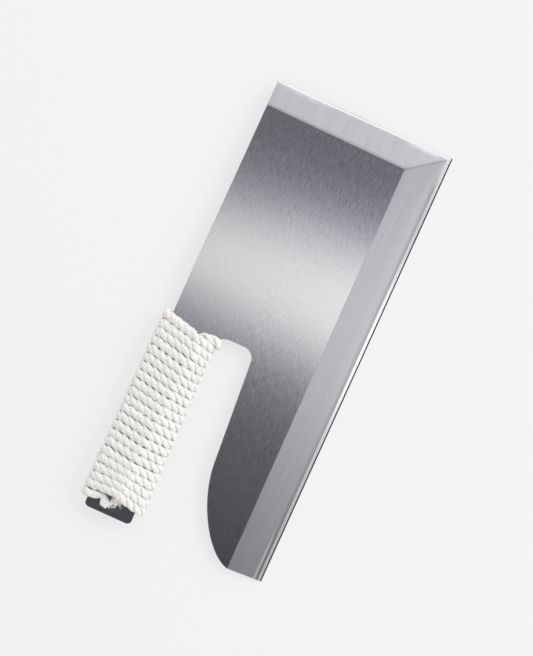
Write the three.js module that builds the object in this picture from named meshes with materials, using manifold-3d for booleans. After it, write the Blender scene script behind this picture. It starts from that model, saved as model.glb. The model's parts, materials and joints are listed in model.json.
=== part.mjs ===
// Soba knife: one steel plate, with its tang cut from the same plate, and one cotton cord
// wound round the tang as the grip.
// Millimetres. +X runs from the heel to the tip, +Y from the cutting edge to the spine, and
// +Z out of the bevelled front face. While the pieces are made, the heel corner of the edge is
// at x = 0, the edge at y = 0 and the blade's flat back at z = 0. At the end the whole knife is
// moved so that the origin lies under the middle of its box.

import * as THREE from 'three';
import { mergeVertices } from 'three/addons/utils/BufferGeometryUtils.js';
import Module from 'manifold-3d';

const wasm = await Module();
wasm.setup();

// Blade plate
const edgeLength = 240;
const bladeHeight = 99;
const plateThickness = 3;

// Ground faces on the front: a wide bevel along the edge, one along the tip, and a fine
// honed strip at the foot of each
const edgeBevelAtHeel = 18.8;
const edgeBevelAtTip = 20.5;
const tipBevelAtEdge = 15;
const tipBevelAtSpine = 13.55;
const bevelFootThickness = 0.6;
const edgeHoneWidth = 2.3;
const tipHoneWidth = 1.2;
const edgeLand = 0.2;

// Finger slot between the heel and the tang
const slotDepth = 106.95;
const slotHeight = 23.55;
const slotLowerFillet = 6;
const slotUpperFillet = 10;

// Heel: a top that falls gently away from the slot, a round belly and a short upright end
const heelTopLength = 60.85;
const heelTopFall = 4.8;
const heelEndHeight = 19.3;
const heelEndLean = 0.8;
const bellyTopHandle = 20;
const bellyEndHandle = 13.2;
const bellyEndTilt = THREE.MathUtils.degToRad(14.7);

// Tang: widens a little towards the butt, where its end stays bare
const tangHeightAtBlade = 23.1;
const tangHeightAtButt = 26.3;
const tangRise = 1;
const tangPastHeel = 1.2;
const tangCornerRadius = 2.6;

// Cord: pressed into a flat six-sided section, with its flats against the tang and outward
const cordWidth = 3.95;
const cordThickness = 3.6;
const cordSeatGap = 0.3;
const cordStackGap = 0.5;
const turnGap = 0.75;

// Winding: the spine-side crossings run from beside the slot to short of the bare tang end.
// On the front each turn slants towards the butt, most at the blade and least at the butt.
const firstTurnFromSlot = 1.4;
const lastTurnFromButt = 7.2;
const firstTurnSlant = 8.8;
const lastTurnSlant = 4.5;

// Starting end: it lies along the tang under the turns, from the butt to the blade, then bends
// down and round the tang's lower edge into the first turn
const tailFromButt = 3.8;
const tailAboveLowerEdgeAtButt = 11;
const tailAboveLowerEdgeAtBlade = 5.3;
const tailBendFromSlot = 4.2;
const cordBendInside = 1.5;

// Finishing end: it comes over the spine side, hooks towards the butt and stops
const finishBelowSpine = 4.8;
const finishHeading = THREE.MathUtils.degToRad(50);

// Facets
const curveSegments = 12;
const bendStep = THREE.MathUtils.degToRad(22);
const hookSteps = 4;

// Levels and corners that the sizes above give
const tangLength = slotDepth + tangPastHeel;
const slotTop = bladeHeight - tangHeightAtBlade;
const heelTop = slotTop - slotHeight;
const tangEndTop = bladeHeight + tangRise;
const tangEndBottom = tangEndTop - tangHeightAtButt;

const heelCorner = new THREE.Vector2(0, 0);
const tipCorner = new THREE.Vector2(edgeLength, 0);
const spineTip = new THREE.Vector2(edgeLength, bladeHeight);
const spineFoot = new THREE.Vector2(slotDepth, bladeHeight);
const tangUpperEnd = new THREE.Vector2(-tangPastHeel, tangEndTop);
const tangLowerEnd = new THREE.Vector2(-tangPastHeel, tangEndBottom);
const slotUpperCorner = new THREE.Vector2(slotDepth, slotTop);
const slotLowerCorner = new THREE.Vector2(slotDepth, heelTop);
const bellyStart = new THREE.Vector2(slotDepth - heelTopLength, heelTop - heelTopFall);
const bellyEnd = new THREE.Vector2(-heelEndLean, heelEndHeight);

// The arc that rounds the corner between the lines from the point before and to the point after
function roundedCorner(before, corner, after, radius) {
  const back = before.clone().sub(corner).normalize();
  const ahead = after.clone().sub(corner).normalize();
  const half = Math.acos(back.dot(ahead)) / 2;
  const inward = back.clone().add(ahead).normalize();
  return {
    centre: corner.clone().addScaledVector(inward, radius / Math.sin(half)),
    start: corner.clone().addScaledVector(back, radius / Math.tan(half)),
    end: corner.clone().addScaledVector(ahead, radius / Math.tan(half)),
    clockwise: back.cross(ahead) > 0,
    radius,
  };
}

function addArc(path, arc) {
  const from = arc.start.clone().sub(arc.centre).angle();
  const to = arc.end.clone().sub(arc.centre).angle();
  path.lineTo(arc.start.x, arc.start.y);
  path.absarc(arc.centre.x, arc.centre.y, arc.radius, from, to, arc.clockwise);
}

const tangUpperRound = roundedCorner(spineFoot, tangUpperEnd, tangLowerEnd, tangCornerRadius);
const tangLowerRound = roundedCorner(tangUpperEnd, tangLowerEnd, slotUpperCorner, tangCornerRadius);
const slotUpperRound = roundedCorner(tangLowerEnd, slotUpperCorner, slotLowerCorner, slotUpperFillet);
const slotLowerRound = roundedCorner(slotUpperCorner, slotLowerCorner, bellyStart, slotLowerFillet);

// Plan of the plate, anticlockwise from the heel corner of the edge
function bladeOutline() {
  const heelTopLine = bellyStart.clone().sub(slotLowerCorner).normalize();
  const topHandle = bellyStart.clone().addScaledVector(heelTopLine, bellyTopHandle);
  const endLine = new THREE.Vector2(Math.sin(bellyEndTilt), Math.cos(bellyEndTilt));
  const endHandle = bellyEnd.clone().addScaledVector(endLine, bellyEndHandle);
  const outline = new THREE.Shape();
  outline.moveTo(heelCorner.x, heelCorner.y);
  outline.lineTo(tipCorner.x, tipCorner.y);
  outline.lineTo(spineTip.x, spineTip.y);
  outline.lineTo(spineFoot.x, spineFoot.y);
  addArc(outline, tangUpperRound);
  addArc(outline, tangLowerRound);
  addArc(outline, slotUpperRound);
  addArc(outline, slotLowerRound);
  outline.lineTo(bellyStart.x, bellyStart.y);
  outline.bezierCurveTo(topHandle.x, topHandle.y, endHandle.x, endHandle.y, bellyEnd.x, bellyEnd.y);
  outline.closePath();
  return outline;
}

function toSolid(geometry) {
  const bare = geometry.clone();
  bare.deleteAttribute('normal');
  bare.deleteAttribute('uv');
  const merged = mergeVertices(bare);
  const mesh = new wasm.Mesh({
    numProp: 3,
    vertProperties: new Float32Array(merged.attributes.position.array),
    triVerts: new Uint32Array(merged.index.array),
  });
  return new wasm.Manifold(mesh);
}

function toGeometry(solid) {
  const mesh = solid.getMesh();
  const geometry = new THREE.BufferGeometry();
  geometry.setAttribute('position', new THREE.BufferAttribute(mesh.vertProperties, 3));
  geometry.setIndex(new THREE.BufferAttribute(mesh.triVerts, 1));
  geometry.computeVertexNormals();
  return geometry;
}

// Everything above the plane through three points, as a slab that reaches past the whole plate
function slabAbove(a, b, c) {
  const reach = 4 * (edgeLength + bladeHeight);
  const along = b.clone().sub(a).normalize();
  const up = along.clone().cross(c.clone().sub(a)).normalize();
  const across = up.clone().cross(along);
  const slab = new THREE.BoxGeometry(reach, reach, reach);
  slab.translate(0, 0, reach / 2);
  slab.applyMatrix4(new THREE.Matrix4().makeBasis(along, across, up).setPosition(a));
  return toSolid(slab);
}

const point = (x, y, z) => new THREE.Vector3(x, y, z);

// The plate with its two bevels and their honed strips ground off the front
function bladeGeometry() {
  const halfLength = edgeLength / 2;
  const halfHeight = bladeHeight / 2;
  const bevelFall = plateThickness - bevelFootThickness;
  const edgeBevelMiddle = (edgeBevelAtHeel + edgeBevelAtTip) / 2;
  const tipBevelMiddle = (tipBevelAtEdge + tipBevelAtSpine) / 2;
  const edgeHoneTop = bevelFootThickness + bevelFall * edgeHoneWidth / edgeBevelMiddle;
  const tipHoneTop = bevelFootThickness + bevelFall * tipHoneWidth / tipBevelMiddle;
  const grinds = [
    slabAbove(
      point(halfLength, 0, bevelFootThickness),
      point(edgeLength, edgeBevelAtTip, plateThickness),
      point(0, edgeBevelAtHeel, plateThickness),
    ),
    slabAbove(
      point(edgeLength, halfHeight, bevelFootThickness),
      point(edgeLength - tipBevelAtSpine, bladeHeight, plateThickness),
      point(edgeLength - tipBevelAtEdge, 0, plateThickness),
    ),
    slabAbove(
      point(0, 0, edgeLand),
      point(edgeLength, 0, edgeLand),
      point(halfLength, edgeHoneWidth, edgeHoneTop),
    ),
    slabAbove(
      point(edgeLength, 0, edgeLand),
      point(edgeLength, bladeHeight, edgeLand),
      point(edgeLength - tipHoneWidth, halfHeight, tipHoneTop),
    ),
  ];
  const plate = new THREE.ExtrudeGeometry(bladeOutline(), {
    depth: plateThickness,
    bevelEnabled: false,
    curveSegments,
  });
  const ground = grinds.reduce((solid, grind) => solid.subtract(grind), toSolid(plate));
  return toGeometry(ground);
}

// Height of the tang's upper edge at x
function tangUpperY(x) {
  const pastSlot = Math.max(0, slotDepth - x);
  return bladeHeight + tangRise * pastSlot / tangLength;
}

// Height of the tang's lower edge at x, round the fillet into the slot
function tangLowerY(x) {
  const { centre, start, radius } = slotUpperRound;
  if (x > start.x) {
    return centre.y + Math.sqrt(Math.max(0, radius ** 2 - (x - centre.x) ** 2));
  }
  return tangEndBottom + (slotTop - tangEndBottom) * (x + tangPastHeel) / tangLength;
}

// Edge levels that the cord's inner flat, a half of its width, has to clear at x
const seatTop = (x) => Math.max(tangUpperY(x - cordWidth / 4), tangUpperY(x + cordWidth / 4));
const seatBottom = (x) => Math.min(tangLowerY(x - cordWidth / 4), tangLowerY(x + cordWidth / 4));

// Levels of the cord's centre on the tang, and of its bends round a tang edge or the buried end
const tangBendRadius = cordSeatGap + cordThickness / 2;
const stackBendRadius = cordStackGap + cordThickness / 2;
const cordOnFace = plateThickness + tangBendRadius;
const tailTop = cordOnFace + cordThickness / 2;
const faceBendRadius = cordBendInside + cordWidth / 2;

// Places along the tang where the winding starts and ends, and its even pitch between them
const firstTurnX = slotDepth - firstTurnFromSlot;
const lastTurnX = lastTurnFromButt - tangPastHeel;
const turnCount = Math.floor((firstTurnX - lastTurnX) / (cordWidth + turnGap));
const pitch = (firstTurnX - lastTurnX) / turnCount;
const turnX = (k) => firstTurnX - k * pitch;
const turnSlant = (k) => firstTurnSlant + (lastTurnSlant - firstTurnSlant) * k / turnCount;

// Middle line of the buried end, from its cut end near the butt to where it bends at the blade
const tailStart = new THREE.Vector2(
  tailFromButt - tangPastHeel,
  tangEndBottom + tailAboveLowerEdgeAtButt,
);
const tailBend = new THREE.Vector2(
  slotDepth - tailBendFromSlot - faceBendRadius,
  slotTop + tailAboveLowerEdgeAtBlade,
);
const tailY = (x) => THREE.MathUtils.mapLinear(x, tailStart.x, tailBend.x, tailStart.y, tailBend.y);

// A station of the cord: the middle of its section and the way that its outer flat faces
const station = (x, y, z, outward) => ({ at: point(x, y, z), outward });

// Stations on a chain of round bends across the tang, in order from one edge to the other.
// Each bend has a middle (y, z) and a radius, and its outward way is an angle from +Y towards +Z.
// The runs between bends are straight and touch both. progress() gives x from the share of the
// way round, counted between the middles of the two edges, slow over the edges themselves.
function halfTurn(bends, fromAngle, toAngle, fromX, toX) {
  const angles = [fromAngle];
  for (let i = 0; i + 1 < bends.length; i += 1) {
    const dy = bends[i + 1].y - bends[i].y;
    const dz = bends[i + 1].z - bends[i].z;
    const lean = Math.acos((bends[i].radius - bends[i + 1].radius) / Math.hypot(dy, dz));
    const way = Math.atan2(dz, dy);
    const turnsBack = 2 * Math.PI * Math.ceil((fromAngle - way + lean) / (2 * Math.PI));
    angles.push(way - lean + turnsBack);
  }
  angles.push(toAngle);
  const across = [];
  bends.forEach((bend, i) => {
    const sweep = angles[i + 1] - angles[i];
    const steps = Math.max(1, Math.round(sweep / bendStep));
    for (let j = 0; j <= steps; j += 1) {
      const angle = angles[i] + sweep * j / steps;
      const y = bend.y + bend.radius * Math.cos(angle);
      const z = bend.z + bend.radius * Math.sin(angle);
      across.push({ y, z, angle });
    }
  });
  const edgeRun = plateThickness / 2;
  const lengths = [edgeRun];
  for (let i = 1; i < across.length; i += 1) {
    const step = Math.hypot(across[i].y - across[i - 1].y, across[i].z - across[i - 1].z);
    lengths.push(lengths[i - 1] + step);
  }
  const total = lengths[lengths.length - 1] + edgeRun;
  const easing = edgeRun + tangBendRadius * Math.PI / 2;
  const progress = (s) => {
    const left = total - s;
    if (s < easing) return s ** 2 / (2 * easing) / (total - easing);
    if (left < easing) return 1 - left ** 2 / (2 * easing) / (total - easing);
    return (s - easing / 2) / (total - easing);
  };
  return across.map(({ y, z, angle }, i) => {
    const x = fromX + (toX - fromX) * progress(lengths[i]);
    return station(x, y, z, point(0, Math.cos(angle), Math.sin(angle)));
  });
}

const facingSpine = 0;
const facingFront = Math.PI / 2;
const facingEdge = Math.PI;
const fullCircle = 2 * Math.PI;

// Front of turn k: over the spine side, across the buried end and down to the edge side
function frontOfTurn(k) {
  const fromX = turnX(k);
  const toX = fromX - turnSlant(k);
  const top = seatTop(fromX);
  const bottom = seatBottom(toX);
  const crossing = (top - tailY(fromX)) / (top - bottom);
  const overTail = tailY(fromX + (toX - fromX) * crossing);
  const bends = [
    { y: top, z: plateThickness, radius: tangBendRadius },
    { y: overTail + cordWidth / 4, z: tailTop, radius: stackBendRadius },
    { y: overTail - cordWidth / 4, z: tailTop, radius: stackBendRadius },
    { y: bottom, z: plateThickness, radius: tangBendRadius },
  ];
  return halfTurn(bends, facingSpine, facingEdge, fromX, toX);
}

// Back of a turn: round the edge side and straight up to the spine side
function backOfTurn(fromX, toX) {
  const bends = [
    { y: seatBottom(fromX), z: 0, radius: tangBendRadius },
    { y: seatTop(toX), z: 0, radius: tangBendRadius },
  ];
  return halfTurn(bends, facingEdge, fullCircle, fromX, toX);
}

// Stations of an arc that lies on the tang's front face, from a place and a heading in plan
function hookOnFace(place, heading, turn) {
  const step = turn / hookSteps;
  const chord = 2 * faceBendRadius * Math.sin(Math.abs(step) / 2);
  const stations = [];
  let { x, y } = place;
  for (let i = 0; i < hookSteps; i += 1) {
    const way = heading + step * (i + 0.5);
    x += chord * Math.cos(way);
    y += chord * Math.sin(way);
    stations.push(station(x, y, cordOnFace, point(0, 0, 1)));
  }
  return stations;
}

// Buried end: from its cut end along the tang's face, then round the lower edge and up the back
function startingEnd() {
  const outward = point(0, 0, 1);
  const heading = Math.atan2(tailBend.y - tailStart.y, tailBend.x - tailStart.x);
  const straightDown = -Math.PI / 2;
  const hook = hookOnFace(tailBend, heading, straightDown - heading);
  const bendX = hook[hook.length - 1].at.x;
  const roundEdge = halfTurn(
    [{ y: seatBottom(bendX), z: plateThickness, radius: tangBendRadius }],
    facingFront,
    facingEdge,
    bendX,
    bendX,
  );
  return [
    station(tailStart.x, tailStart.y, cordOnFace, outward),
    station(tailBend.x, tailBend.y, cordOnFace, outward),
    ...hook,
    ...roundEdge,
    ...backOfTurn(bendX, firstTurnX),
  ];
}

// Last piece: over the spine side beside the last turn, then a hook towards the butt
function finishingEnd() {
  const top = seatTop(lastTurnX);
  const overSpine = halfTurn(
    [{ y: top, z: plateThickness, radius: tangBendRadius }],
    facingSpine,
    facingFront,
    lastTurnX,
    lastTurnX,
  );
  const slant = Math.atan2(lastTurnSlant, top - seatBottom(lastTurnX));
  const hookStart = new THREE.Vector2(
    lastTurnX - finishBelowSpine * Math.tan(slant),
    top - finishBelowSpine,
  );
  const straightDown = -Math.PI / 2;
  const hook = hookOnFace(hookStart, straightDown - slant, slant - finishHeading);
  const last = hook[hook.length - 1].at;
  const endHeading = straightDown - finishHeading;
  const endX = last.x + cordWidth * Math.cos(endHeading);
  const endY = last.y + cordWidth * Math.sin(endHeading);
  const outward = point(0, 0, 1);
  return [
    ...overSpine,
    station(hookStart.x, hookStart.y, cordOnFace, outward),
    ...hook,
    station(endX, endY, cordOnFace, outward),
  ];
}

function cordRoute() {
  const route = startingEnd();
  for (let k = 0; k < turnCount; k += 1) {
    route.push(...frontOfTurn(k));
    route.push(...backOfTurn(turnX(k) - turnSlant(k), turnX(k + 1)));
  }
  route.push(...finishingEnd());
  return route;
}

// Six corners of the cord's section: across its width, and inward and outward
const sectionCorners = [
  [cordWidth / 2, 0],
  [cordWidth / 4, cordThickness / 2],
  [-cordWidth / 4, cordThickness / 2],
  [-cordWidth / 2, 0],
  [-cordWidth / 4, -cordThickness / 2],
  [cordWidth / 4, -cordThickness / 2],
];
const sides = sectionCorners.length;

// The section's corners at each station, square to the cord there
function cordRings(route) {
  return route.map(({ at, outward }, i) => {
    const before = route[Math.max(0, i - 1)].at;
    const after = route[Math.min(route.length - 1, i + 1)].at;
    const along = after.clone().sub(before).normalize();
    const out = outward.clone().addScaledVector(along, -outward.dot(along)).normalize();
    const sideways = out.clone().cross(along);
    return sectionCorners.map(([wide, thick]) =>
      at.clone().addScaledVector(sideways, wide).addScaledVector(out, thick));
  });
}

// One closed tube through all the rings
function cordGeometry(rings) {
  const positions = rings.flatMap((ring) => ring.flatMap((corner) => corner.toArray()));
  const faces = [];
  for (let i = 0; i + 1 < rings.length; i += 1) {
    for (let j = 0; j < sides; j += 1) {
      const next = (j + 1) % sides;
      const a = i * sides + j;
      const b = i * sides + next;
      faces.push(a, b, b + sides, a, b + sides, a + sides);
    }
  }
  const lastRing = (rings.length - 1) * sides;
  for (let j = 1; j + 1 < sides; j += 1) {
    faces.push(0, j + 1, j);
    faces.push(lastRing, lastRing + j, lastRing + j + 1);
  }
  const geometry = new THREE.BufferGeometry();
  geometry.setAttribute('position', new THREE.Float32BufferAttribute(positions, 3));
  geometry.setIndex(faces);
  geometry.computeVertexNormals();
  return geometry;
}

function routeLengths(route) {
  const lengths = [0];
  for (let i = 1; i < route.length; i += 1) {
    lengths.push(lengths[i - 1] + route[i].at.distanceTo(route[i - 1].at));
  }
  return lengths;
}

// Least distance between points on the cord's surface that are far apart along the cord.
// Points are taken every half millimetre along each side's corners and middles.
function leastSelfGap(route, rings) {
  const spacing = 0.5;
  const apart = 3 * (cordWidth + cordThickness);
  const lengths = routeLengths(route);
  const slices = [];
  for (let i = 0; i + 1 < rings.length; i += 1) {
    const steps = Math.max(1, Math.ceil((lengths[i + 1] - lengths[i]) / spacing));
    for (let step = 0; step < steps; step += 1) {
      const share = step / steps;
      const corners = rings[i].map((corner, j) => corner.clone().lerp(rings[i + 1][j], share));
      const middles = corners.map((corner, j) => corner.clone().lerp(corners[(j + 1) % sides], 0.5));
      slices.push({
        length: THREE.MathUtils.lerp(lengths[i], lengths[i + 1], share),
        centre: route[i].at.clone().lerp(route[i + 1].at, share),
        points: [...corners, ...middles],
      });
    }
  }
  const near = 2 * cordWidth;
  let least = Infinity;
  for (let i = 0; i < slices.length; i += 1) {
    for (let j = i + 1; j < slices.length; j += 1) {
      const one = slices[i];
      const other = slices[j];
      if (other.length - one.length < apart || one.centre.distanceTo(other.centre) > near) continue;
      for (const p of one.points) {
        for (const q of other.points) least = Math.min(least, p.distanceTo(q));
      }
    }
  }
  return least;
}

const bladeSteel = new THREE.MeshStandardMaterial({ color: 0x9a9da3, roughness: 0.38, metalness: 1 });
const cottonCord = new THREE.MeshStandardMaterial({ color: 0xe2dfd7, roughness: 0.95, metalness: 0 });

const blade = new THREE.Mesh(bladeGeometry(), bladeSteel);
blade.name = 'blade';

const route = cordRoute();
const rings = cordRings(route);
const handleCord = new THREE.Mesh(cordGeometry(rings), cottonCord);
handleCord.name = 'handle_cord';

console.log(`handle cord: ${turnCount} full turns, ${Math.round(routeLengths(route).pop())} mm long`);
console.log(`handle cord: least gap to itself ${leastSelfGap(route, rings).toFixed(2)} mm`);

const knife = new THREE.Group();
knife.add(blade, handleCord);

const box = new THREE.Box3().setFromObject(knife);
const middle = box.getCenter(new THREE.Vector3());
knife.position.set(-middle.x, -middle.y, -box.min.z);

export default knife;
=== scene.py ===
import json
import bpy
import numpy as np
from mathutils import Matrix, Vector

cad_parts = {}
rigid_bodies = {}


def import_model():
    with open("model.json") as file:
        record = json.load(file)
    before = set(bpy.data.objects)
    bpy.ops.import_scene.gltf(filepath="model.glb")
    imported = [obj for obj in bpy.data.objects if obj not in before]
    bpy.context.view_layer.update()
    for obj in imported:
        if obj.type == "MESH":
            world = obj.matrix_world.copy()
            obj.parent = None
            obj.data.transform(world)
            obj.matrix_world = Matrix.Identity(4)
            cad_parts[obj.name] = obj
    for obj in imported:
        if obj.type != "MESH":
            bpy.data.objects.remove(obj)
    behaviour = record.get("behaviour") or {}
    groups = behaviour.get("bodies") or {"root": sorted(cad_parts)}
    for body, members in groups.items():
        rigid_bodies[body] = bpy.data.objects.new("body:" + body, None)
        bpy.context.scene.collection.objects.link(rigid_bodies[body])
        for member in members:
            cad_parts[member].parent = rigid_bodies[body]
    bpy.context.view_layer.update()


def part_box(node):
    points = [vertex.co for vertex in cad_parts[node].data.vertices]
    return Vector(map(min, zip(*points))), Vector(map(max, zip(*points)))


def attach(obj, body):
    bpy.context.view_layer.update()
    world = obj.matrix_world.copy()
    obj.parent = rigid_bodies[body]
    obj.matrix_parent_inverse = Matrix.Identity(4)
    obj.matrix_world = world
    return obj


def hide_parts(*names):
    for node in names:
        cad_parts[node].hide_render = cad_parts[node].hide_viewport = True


for leftover in list(bpy.data.objects):
    bpy.data.objects.remove(leftover)
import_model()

# Blade plate
# One plate of stainless steel, with its tang cut from the same plate. The flat is brushed along
# the blade, and bevels are ground off the front along the edge and the tip, then honed.
# Its own measures are in millimetres from the heel corner of the edge, on the flat back.
MM = 0.001
blade_low, blade_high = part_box("blade")
tang_past_heel = 1.2
heel_corner = np.array([blade_low.x + tang_past_heel * MM, blade_low.y, blade_low.z])
edge_length = (blade_high.x - heel_corner[0]) / MM
plate_thickness = (blade_high.z - blade_low.z) / MM
blade_height = 99.0
arris_ease = 0.25

slot_wall = 106.95
slot_top = 75.9
heel_top = 52.35
slot_upper_fillet = 10.0
slot_lower_fillet = 6.0
belly_start = np.array([46.1, 47.55])
belly_end = np.array([-0.8, 19.3])
belly_top_handle = 20.0
belly_end_handle = 13.2
belly_end_tilt = np.radians(14.7)
tang_end_top = 100.0
tang_end_bottom = 73.7
tang_corner_radius = 2.6


def fillet(before, corner, after, radius, steps):
    """Points of the arc that rounds a corner: both tangent points lie radius / tan(half the corner's
    angle) from it, and the arc's angle runs evenly from one to the other about the centre."""
    back = (before - corner) / np.linalg.norm(before - corner)
    ahead = (after - corner) / np.linalg.norm(after - corner)
    half = np.arccos(back @ ahead) / 2
    inward = (back + ahead) / np.linalg.norm(back + ahead)
    centre = corner + inward * radius / np.sin(half)
    first = corner + back * radius / np.tan(half) - centre
    last = corner + ahead * radius / np.tan(half) - centre
    sweep = np.arctan2(first[0] * last[1] - first[1] * last[0], first @ last)
    angle = np.arctan2(first[1], first[0]) + sweep * np.linspace(0, 1, steps + 1)
    return centre + radius * np.stack([np.cos(angle), np.sin(angle)], axis=1)


def straight(start, end, steps):
    """Evenly spaced points between two points, the first one left out."""
    return start + (end - start) * np.linspace(0, 1, steps + 1)[1:, None]


def inset(curve, side):
    """The curve moved inwards by the arris ease, square to itself: side is 1 where the steel lies on
    the right of its direction and -1 where it lies on the left."""
    along = np.gradient(curve, axis=0)
    along = along / np.linalg.norm(along, axis=1, keepdims=True)
    return curve + side * arris_ease * np.stack([along[:, 1], -along[:, 0]], axis=1)


# Heel curve from the belly's end to the slot wall, by a cubic Bezier curve, a line and a fillet
wall_foot = np.array([slot_wall, heel_top])
wall_head = np.array([slot_wall, slot_top])
heel_line = (belly_start - wall_foot) / np.linalg.norm(belly_start - wall_foot)
belly_handles = [
    belly_end,
    belly_end + belly_end_handle * np.array([np.sin(belly_end_tilt), np.cos(belly_end_tilt)]),
    belly_start + belly_top_handle * heel_line,
    belly_start,
]
arc_steps = 12
belly_steps = 40
heel_line_steps = 20
t = np.linspace(0, 1, belly_steps + 1)[:, None]
belly = sum(
    weight * (1 - t) ** (3 - power) * t**power * handle
    for power, (weight, handle) in enumerate(zip((1, 3, 3, 1), belly_handles))
)
lower_arc = fillet(belly_start, wall_foot, wall_head, slot_lower_fillet, arc_steps)
heel_curve = np.concatenate(
    [belly, straight(belly_start, lower_arc[0], heel_line_steps), lower_arc[1:]]
)

# Tang's lower and upper edges, each from the corner arc at the butt to the slot wall
tang_foot = np.array([-tang_past_heel, tang_end_bottom])
tang_head = np.array([-tang_past_heel, tang_end_top])
spine_foot = np.array([slot_wall, blade_height])
grip_columns = len(heel_curve) - 1
upper_arc = fillet(tang_foot, wall_head, wall_foot, slot_upper_fillet, arc_steps)
foot_arc = fillet(tang_head, tang_foot, wall_head, tang_corner_radius, arc_steps)
head_arc = fillet(tang_foot, tang_head, spine_foot, tang_corner_radius, arc_steps)
tang_lower = np.concatenate(
    [foot_arc, straight(foot_arc[-1], upper_arc[0], grip_columns - 2 * arc_steps), upper_arc[1:]]
)
tang_upper = np.concatenate([head_arc, straight(head_arc[-1], spine_foot, grip_columns - arc_steps)])

# Ground faces, as heights above the back, and their distances in from the border: the very edge, the
# land on it, painted dark, the bright hone, the wide bevel, and a narrow facet that eases it into the flat
edge_bevel_at_heel = 18.8
edge_bevel_at_tip = 20.5
edge_land_width = 0.75
edge_hone_width = 2.25
edge_facet = 0.33
tip_bevel_at_edge = 15.05
tip_bevel_at_spine = 13.6
tip_land_width = 0.04
tip_hone_width = 0.95
tip_hone_swell = 0.3
tip_hone_flare = 2.2
tip_flare_reach = 9.0
tip_facet = 1.2
facet_slope = 0.43
border_height = 0.05
land_height = 0.52
hone_height = 0.9
hone_steps = 3
bevel_steps = 12
arris_drops = np.array([0.15, 0.1, 0.06, 0.03, 0.012, 0.003, 0.0])

ground_z = np.concatenate(
    [
        [border_height],
        np.linspace(land_height, hone_height, hone_steps + 1),
        np.linspace(hone_height, plate_thickness - arris_drops[0], bevel_steps + 1)[1:],
        plate_thickness - arris_drops[1:],
    ]
)
last_level = len(ground_z) - 1
hone_level = hone_steps + 1
near_heights = (border_height, land_height, hone_height)
near_shares = np.stack([np.interp(ground_z, near_heights, row) for row in np.eye(3)], axis=1)


def ground_distances(land_width, hone_width, bevel_width, facet_width):
    """Distance of every ground level from the border, for arrays of widths: straight lines up the land,
    the hone and the bevel, then up the facet, at a share of the bevel's slope, where it lies further in."""
    bevel_width = np.atleast_1d(bevel_width) + 0.0
    hone_width = hone_width + 0 * bevel_width
    drop = plate_thickness - ground_z[:, None]
    slope = (plate_thickness - hone_height) / (bevel_width - hone_width)
    on_bevel = bevel_width - drop / slope
    on_facet = bevel_width + facet_width * (1 - facet_slope) - drop / (slope * facet_slope)
    near = near_shares @ np.stack([0 * hone_width, land_width + 0 * hone_width, hone_width])
    far = np.maximum(on_bevel, on_facet)
    return np.where(ground_z[:, None] > hone_height, far, near)


def from_edge(x):
    """Ground levels of the edge at x: the bevel widens evenly from the heel to the tip."""
    width = edge_bevel_at_heel + (edge_bevel_at_tip - edge_bevel_at_heel) * x / edge_length
    return ground_distances(edge_land_width, edge_hone_width, width, edge_facet)


def from_tip(y):
    """Ground levels of the tip at y: the bevel narrows evenly from the edge to the spine. Its hone swells
    by one half wave between them, and flares at the edge, fading by e in each reach."""
    share = y / blade_height
    width = tip_bevel_at_edge + (tip_bevel_at_spine - tip_bevel_at_edge) * share
    hone = tip_hone_width + tip_hone_swell * np.sin(np.pi * share)
    hone = hone + tip_hone_flare * np.exp(-y / tip_flare_reach)
    return ground_distances(tip_land_width, hone, width, tip_facet)


# Rows of the plan run from the edge to the spine and its columns from the butt to the tip. The slot
# is a block of missing cells. Under the slot the rows fill the heel, and above it the tang.
flat_rows = 9
wall_rows = 5
tang_rows = 9
blade_columns = 34
support_width = 0.25
heel_row = last_level + flat_rows
tang_row = heel_row + wall_rows
top_row = tang_row + tang_rows
tip_column = grip_columns + blade_columns
end_column = tip_column + last_level
junction = slot_wall + arris_ease
mitre_x = edge_length - from_tip(np.array([edge_bevel_at_tip]))[-1, 0]
mitre_y = from_edge(np.array([mitre_x]))[-1, 0]

plan = np.full((top_row + 1, end_column + 1, 2), np.nan)


def fill_rows(low, high):
    """Heights of the flat's rows above the bevel. The first is a narrow support beside the arris, at most
    a quarter of the way up, and the rest are evenly spaced from it."""
    support = support_width / np.maximum(high - low, 4 * support_width)
    return low + (high - low) * (support + (1 - support) * np.linspace(0, 1, flat_rows)[:, None])


def length_along(points):
    """Length gone at each point of a line: the running sum of the steps between its points."""
    return np.concatenate([[0.0], np.cumsum(np.linalg.norm(np.diff(points, axis=0), axis=1))])


# Heel columns fan from the edge to the heel curve
heel_inset = inset(heel_curve, 1)
heel_inset[-1] = (junction, lower_arc[-1, 1])
heel_length = length_along(heel_curve)
foot_x = heel_length / heel_length[-1] * junction
foot_y = from_edge(foot_x)
heel_y = np.concatenate([foot_y, fill_rows(foot_y[-1], heel_inset[:, 1])])
heel_x = foot_x + (heel_inset[:, 0] - foot_x) * heel_y / heel_inset[:, 1]
plan[: heel_row + 1, : grip_columns + 1] = np.stack([heel_x, heel_y], axis=2)

# Tang columns run straight from its lower to its upper edge
lower_inset = inset(tang_lower, -1)
lower_inset[-1] = (junction, upper_arc[-1, 1])
upper_inset = inset(tang_upper, 1)
upper_inset[-1] = (junction, blade_height - arris_ease)
tang_share = np.linspace(0, 1, tang_rows + 1)[:, None, None]
plan[tang_row:, : grip_columns + 1] = lower_inset + (upper_inset - lower_inset) * tang_share

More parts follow.
